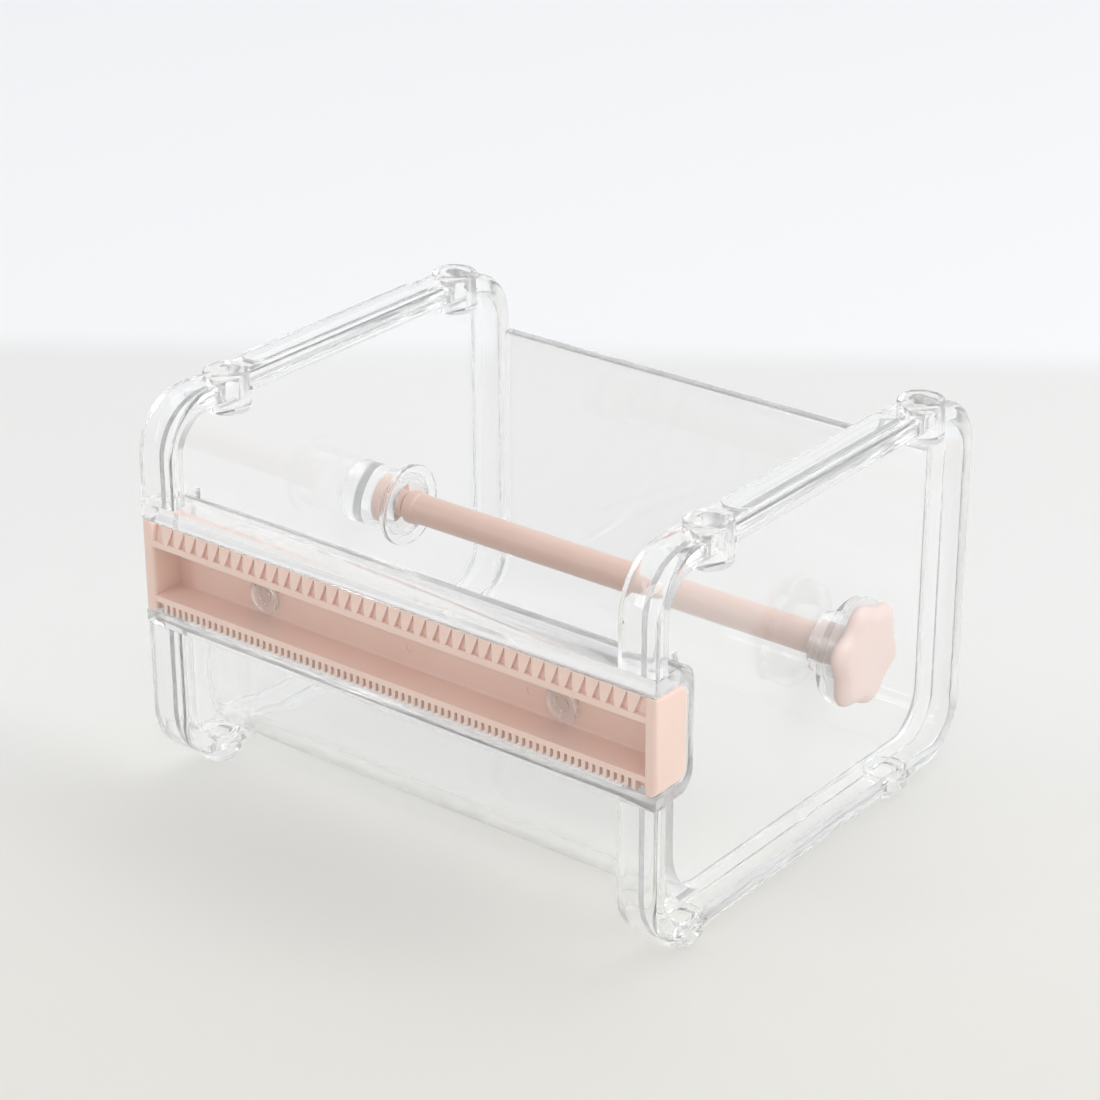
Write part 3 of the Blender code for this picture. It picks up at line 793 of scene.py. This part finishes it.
# ---------------------------------------------------------------- stage, camera and light
# Reflections inside clear plastic count as glossy bounces, so they need as many as transmission.
BOUNCES = 28
LIGHT_SIDE = Vector((0.62, 0.28, 0.73)).normalized()
SKY_STRENGTH = (0.5, 1.12)
WINDOW_SPOT = (0.85, 0.3, 0.75)
STRIP_SPOT = (-0.5, -0.9, 0.5)
AIM = (0, 0, 0.03)

# The floor's own y axis runs away from the camera; its tones blend between these distances. The darker,
# warmer front tone is painted shade on the table near the camera.
FLOOR_TURN = 34.6
FLOOR_GAP = 0.0002
FRONT_PAINTED_SHADE_TONE = (0.72, 0.695, 0.625)
MIDDLE_TONE = (0.80, 0.80, 0.785)
FAR_TONE = (0.885, 0.895, 0.905)
NEAR_SHADE_BLEND = (-0.2, 0.05)
FAR_BLEND = (0.172, 0.192)

# The camera stands at CAMERA_SPOT from the point under the object's middle, in the rails' bottom plane.
CAMERA_SPOT = Vector((0.2702, -0.347016, 0.241388))
CAMERA_TURN = radians(38.054)
CAMERA_TILT = radians(25.063)
CAMERA_ROLL = radians(-0.151)
CAMERA_LENS = 102.67


def floor_sheet():
    """A pale table; past a soft line behind the object it turns brighter and cooler."""
    mesh = bpy.data.meshes.new("floor")
    body = bmesh.new()
    bmesh.ops.create_grid(body, x_segments=8, y_segments=8, size=4)
    body.to_mesh(mesh)
    body.free()
    obj = linked(bpy.data.objects.new("floor", mesh))
    obj.rotation_euler = (0, 0, radians(FLOOR_TURN))
    obj.location = (0, 0, -FLOOR_GAP)
    material, tree, shader = new_material("pale_floor")
    coords = tree.nodes.new("ShaderNodeTexCoord")
    split = tree.nodes.new("ShaderNodeSeparateXYZ")
    tree.links.new(coords.outputs["Object"], split.inputs["Vector"])
    # Towards the front the table darkens into painted shade.
    near = tree.nodes.new("ShaderNodeMix")
    near.data_type = "RGBA"
    near.inputs["A"].default_value = (*FRONT_PAINTED_SHADE_TONE, 1)
    near.inputs["B"].default_value = (*MIDDLE_TONE, 1)
    tree.links.new(ramp(tree, split.outputs["Y"], 0, 1, *NEAR_SHADE_BLEND), near.inputs["Factor"])
    far = tree.nodes.new("ShaderNodeMix")
    far.data_type = "RGBA"
    tree.links.new(near.outputs["Result"], far.inputs["A"])
    far.inputs["B"].default_value = (*FAR_TONE, 1)
    edge = ramp(tree, split.outputs["Y"], 0, 1, *FAR_BLEND)
    edge.node.interpolation_type = "SMOOTHSTEP"
    tree.links.new(edge, far.inputs["Factor"])
    tree.links.new(far.outputs["Result"], shader.inputs["Base Color"])
    shader.inputs["Roughness"].default_value = 0.85
    grain = noise(tree, 900, 3)
    bump(tree, shader, grain.outputs["Fac"], 0.04, 0.0002)
    obj.data.materials.append(material)


def camera():
    """Looks down along its turn (about z) and tilt, rolled a little about its own axis."""
    turn, tilt, roll = CAMERA_TURN, CAMERA_TILT, CAMERA_ROLL
    ahead = Vector((-sin(turn) * cos(tilt), cos(turn) * cos(tilt), -sin(tilt)))
    right = Vector((cos(turn), sin(turn), 0))
    up = right.cross(ahead)
    level_right = cos(roll) * right + sin(roll) * up
    level_up = cos(roll) * up - sin(roll) * right
    data = bpy.data.cameras.new("camera")
    data.sensor_width = 36
    data.lens = CAMERA_LENS
    data.clip_start = 0.01
    data.clip_end = 20
    obj = linked(bpy.data.objects.new("camera", data))
    spot = CAMERA_SPOT + Vector((MIDDLE, 0, RAIL_BOTTOM))
    axes = Matrix((level_right, level_up, -ahead)).transposed()
    obj.matrix_world = Matrix.Translation(spot) @ axes.to_4x4()
    bpy.context.scene.camera = obj


def area(name, place, aim, size, power, colour):
    data = bpy.data.lights.new(name, "AREA")
    data.shape = "RECTANGLE"
    data.size, data.size_y = size
    data.energy = power
    data.color = colour
    obj = linked(bpy.data.objects.new(name, data))
    obj.location = place
    obj.rotation_euler = (Vector(aim) - Vector(place)).to_track_quat("-Z", "Y").to_euler()


def lights():
    """A sky that brightens towards LIGHT_SIDE, a broad window and a narrow strip."""
    world = bpy.data.worlds.new("soft_room")
    world.use_nodes = True
    tree = world.node_tree
    sky = tree.nodes["Background"]
    sky.inputs["Color"].default_value = (0.98, 0.985, 1.0, 1)
    coords = tree.nodes.new("ShaderNodeTexCoord")
    facing = tree.nodes.new("ShaderNodeVectorMath")
    facing.operation = "DOT_PRODUCT"
    facing.inputs[1].default_value = LIGHT_SIDE
    tree.links.new(coords.outputs["Generated"], facing.inputs[0])
    strength = ramp(tree, facing.outputs["Value"], *SKY_STRENGTH, -0.5, 0.95)
    tree.links.new(strength, sky.inputs["Strength"])
    bpy.context.scene.world = world
    area("window", WINDOW_SPOT, AIM, (0.6, 0.5), 3.1, (1.0, 0.99, 0.97))
    area("strip", STRIP_SPOT, AIM, (0.12, 0.9), 1.0, (1, 1, 1))


floor_sheet()
camera()
lights()
bpy.context.scene.view_settings.view_transform = "Standard"
cycles = bpy.context.scene.cycles
cycles.max_bounces = BOUNCES
cycles.transmission_bounces = BOUNCES
cycles.glossy_bounces = BOUNCES
cycles.transparent_max_bounces = 24
